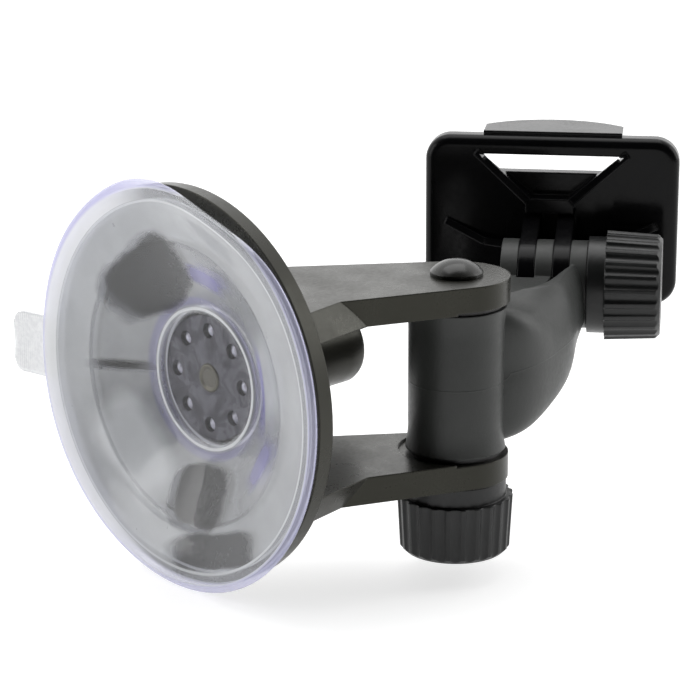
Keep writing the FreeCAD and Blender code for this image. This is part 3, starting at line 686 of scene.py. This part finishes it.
def make_tab():
    """Peel tab: a thin rounded tongue from inside the rim, curled a little towards the glass."""
    width = TAB_COLUMNS + 1
    points = [tab_point(i / TAB_ROWS, j / TAB_COLUMNS, face)
              for face in (-1, 1) for i in range(TAB_ROWS + 1) for j in range(width)]
    back = len(points) // 2
    faces = []
    for i in range(TAB_ROWS):
        for j in range(TAB_COLUMNS):
            a = i * width + j
            quad = [a, a + 1, a + width + 1, a + width]
            faces.append(quad[::-1])
            faces.append([back + index for index in quad])
    last = TAB_ROWS * width
    border = [*range(TAB_COLUMNS), *range(TAB_COLUMNS, last, width),
              *range(last + TAB_COLUMNS, last, -1), *range(last, 0, -width)]
    for a, b in zip(border, border[1:] + border[:1]):
        faces.append([a, b, back + b, back + a])
    return new_object("peel_tab", points, faces)


# ---- dressing the nodes ---------------------------------------------------------------------------

def dress(material, *nodes):
    """Give CAD nodes a material, with smooth curved faces and their real edges kept sharp."""
    for node in nodes:
        obj = NODES[node]
        obj.data.materials.clear()
        obj.data.materials.append(material)
        for polygon in obj.data.polygons:
            polygon.use_smooth = True
        weld = obj.modifiers.new("weld", "WELD")
        weld.merge_threshold = WELD_MM * MM
        split = obj.modifiers.new("edges", "EDGE_SPLIT")
        split.split_angle = math.radians(SMOOTH_BELOW_DEG)


def mount(obj, material, body, slot, *replaced):
    """Fix a new piece to a body, in place of the CAD nodes that it replaces."""
    obj.data.materials.append(material)
    if replaced:
        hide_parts(*replaced)
    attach(obj, body)


def dress_nodes(stud_metal):
    # The knobs get the strongest lighter edges: wear and painted highlight together.
    knob = moulded("satin_knob", (0.006, 0.0065, 0.0065), (0.011, 0.0115, 0.0115), 0.36, 0.35,
                   gloss=0.38, wear_and_highlight=0.5)
    dress(moulded("satin_base", (0.009, 0.0088, 0.007), (0.016, 0.0156, 0.0125), 0.31, 0.15,
                  gloss=0.32, sheen=(1.0, 0.99, 0.84)), "base_housing")
    dress(moulded("satin_elbow", (0.030, 0.032, 0.030), (0.046, 0.048, 0.046), 0.42, 0.3,
                  gloss=0.32, seam=elbow_seam), "elbow_arm")
    dress(knob, "swing_knob", "tilt_knob")
    dress(moulded("gloss_plate", (0.002, 0.002, 0.0022), (0.004, 0.004, 0.0045), 0.17, 0.05,
                  0.5 * MM, 0.12), "camera_plate")
    dress(metal("zinc_plate", (0.62, 0.62, 0.6), 0.3, (1.0, 1.0, 6.0)),
          "stud_washer", "stud_nut", "swing_lock_washer", "tilt_lock_washer")
    dress(stud_metal, "cup_stud")
    dress(metal("brass_nut", (0.72, 0.55, 0.27), 0.28, (1.0, 1.0, 5.0)),
          "swing_knob_nut", "tilt_knob_nut")
    dress(black_bolt(), "pivot_bolt", "tilt_bolt")
    dress(black_nylon(), "upper_friction_washer", "lower_friction_washer")
    dress(smoked_plastic(), "cup_insert_plate")


def add_pieces(stud_metal):
    mount(make_cup(), cup_vinyl(), "base", "clear_pvc", "suction_cup")
    mount(make_tab(), frosted_vinyl(), "base", "frosted_pvc", "pull_tab")
    mount(make_plugs(), clear_plug(), "base", "clear_pvc")
    mount(make_stud_end(), stud_metal, "base", "zinc_steel")


# ---- stage ------------------------------------------------------------------------------------------

def make_floor():
    """Plain white floor at the object's lowest point."""
    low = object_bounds()[0].z / MM
    half = FLOOR_HALF / MM
    corners = [(-half, -half, low), (half, -half, low), (half, half, low), (-half, half, low)]
    floor = new_object("floor", corners, [[0, 1, 2, 3]], smooth=False)
    paint = Paint("floor_white")
    tone = paint.blend(paint.noise(3.0), (0.60, 0.60, 0.60), (0.64, 0.64, 0.64))
    floor.data.materials.append(paint.finish(paint.principled(
        Base_Color=tone, Roughness=0.9, Specular_IOR_Level=0.0,
        Emission_Color=(1.0, 1.0, 1.0), Emission_Strength=FLOOR_GLOW)))


def make_world():
    """White studio surround, dark on one side so that black gloss stays black."""
    world = bpy.data.worlds.new("studio")
    bpy.context.scene.world = world
    world.use_nodes = True
    nodes, links = world.node_tree.nodes, world.node_tree.links
    nodes.clear()
    output = nodes.new("ShaderNodeOutputWorld")
    background = nodes.new("ShaderNodeBackground")
    direction = nodes.new("ShaderNodeTexCoord")
    dot = nodes.new("ShaderNodeVectorMath")
    dot.operation = "DOT_PRODUCT"
    dot.inputs[1].default_value = DARK_SIDE
    ramp = nodes.new("ShaderNodeMapRange")
    ramp.interpolation_type = "SMOOTHSTEP"
    for name, value in SURROUND.items():
        ramp.inputs[name].default_value = value
    background.inputs["Color"].default_value = (1.0, 1.0, 1.0, 1.0)
    links.new(direction.outputs["Generated"], dot.inputs[0])
    links.new(dot.outputs["Value"], ramp.inputs["Value"])
    links.new(ramp.outputs["Result"], background.inputs["Strength"])
    links.new(background.outputs[0], output.inputs["Surface"])


def make_lamp(name, place, target, size, power):
    """Soft rectangular lamp that faces its target."""
    data = bpy.data.lights.new(name, "AREA")
    data.shape = "RECTANGLE"
    data.size, data.size_y = size
    data.energy = power
    lamp = bpy.data.objects.new(name, data)
    lamp.location = place
    lamp.rotation_mode = "QUATERNION"
    lamp.rotation_quaternion = (Vector(target) - Vector(place)).to_track_quat("-Z", "Y")
    bpy.context.scene.collection.objects.link(lamp)


def make_camera():
    data = bpy.data.cameras.new("camera")
    data.lens = CAMERA_LENS
    data.sensor_width = 36.0
    data.clip_start, data.clip_end = 0.01, 50.0
    camera = bpy.data.objects.new("camera", data)
    look = (CAMERA_TARGET - CAMERA_AT).to_track_quat("-Z", "Y").to_matrix()
    roll = Matrix.Rotation(math.radians(CAMERA_ROLL_DEG), 3, "Z")
    camera.matrix_world = Matrix.Translation(CAMERA_AT) @ (look @ roll).to_4x4()
    bpy.context.scene.collection.objects.link(camera)
    bpy.context.scene.camera = camera


stud_steel = metal("stud_metal", (0.11, 0.105, 0.08), 0.42, (1.0, 1.0, 1.0))
dress_nodes(stud_steel)
add_pieces(stud_steel)
make_floor()
make_world()
for lamp_data in LAMPS:
    make_lamp(*lamp_data)
make_camera()
bpy.context.scene.view_settings.view_transform = "Standard"
